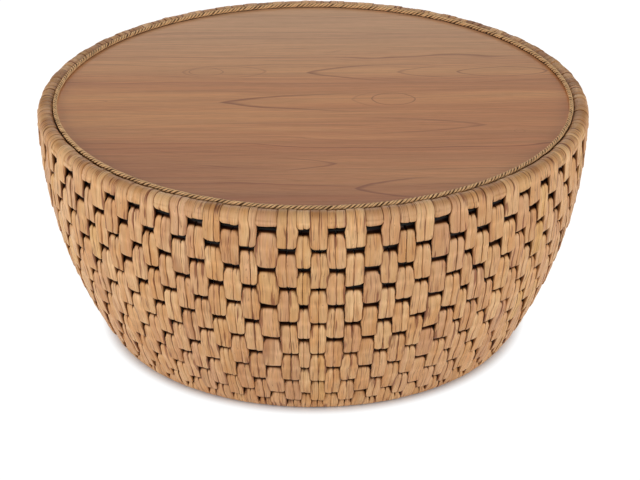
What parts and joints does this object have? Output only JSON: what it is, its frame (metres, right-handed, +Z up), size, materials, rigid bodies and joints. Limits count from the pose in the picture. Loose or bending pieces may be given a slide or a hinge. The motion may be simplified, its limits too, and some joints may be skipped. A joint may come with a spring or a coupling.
{
  "type": "woven drum coffee table",
  "caption": "Round bowl-sided coffee table: natural-fibre strands woven over iron hoops, with a wood veneer top set inside a folded rim and a twisted edge cord.",
  "frame": {"origin": "on the floor under the middle of the round top", "axes": "+Z up, the table's shortest extent; +X along the grain of the top; -Y towards the front"},
  "size_m": [0.9146, 0.9146, 0.4033],
  "materials": {
    "strand": "flattened dried plant-fibre strands, tan to grey-brown, satin",
    "cord": "two-ply twisted plant-fibre cord, golden tan",
    "iron": "iron rod and tube, black paint",
    "veneer": "reddish-brown wood veneer, satin lacquer",
    "bar": "plain sawn hardwood",
    "screw": "zinc-plated steel",
    "glide": "black nylon"
  },
  "bodies": {
    "root": {"woven_panel_01": "strand", "rib_01": "iron", "glide_01": "glide", "woven_panel_02": "strand", "rib_02": "iron", "glide_02": "glide", "woven_panel_03": "strand", "rib_03": "iron", "glide_03": "glide", "woven_panel_04": "strand", "rib_04": "iron", "glide_04": "glide", "woven_panel_05": "strand", "rib_05": "iron", "glide_05": "glide", "woven_panel_06": "strand", "rib_06": "iron", "glide_06": "glide", "woven_panel_07": "strand", "rib_07": "iron", "glide_07": "glide", "woven_panel_08": "strand", "rib_08": "iron", "glide_08": "glide", "hoop_01": "iron", "hoop_02": "iron", "hoop_03": "iron", "hoop_04": "iron", "hoop_05": "iron", "hoop_06": "iron", "hoop_07": "iron", "hoop_08": "iron", "hoop_09": "iron", "hoop_10": "iron", "hoop_11": "iron", "hoop_12": "iron", "rim_tube": "iron", "base_ring": "iron", "top_panel": "veneer", "edge_cord": "cord", "top_bar_long": "bar", "top_bar_back": "bar", "top_bar_front": "bar", "top_screw_01": "screw", "top_screw_02": "screw", "top_screw_03": "screw", "top_screw_04": "screw", "top_screw_05": "screw", "top_screw_06": "screw"}
  },
  "joints": []
}
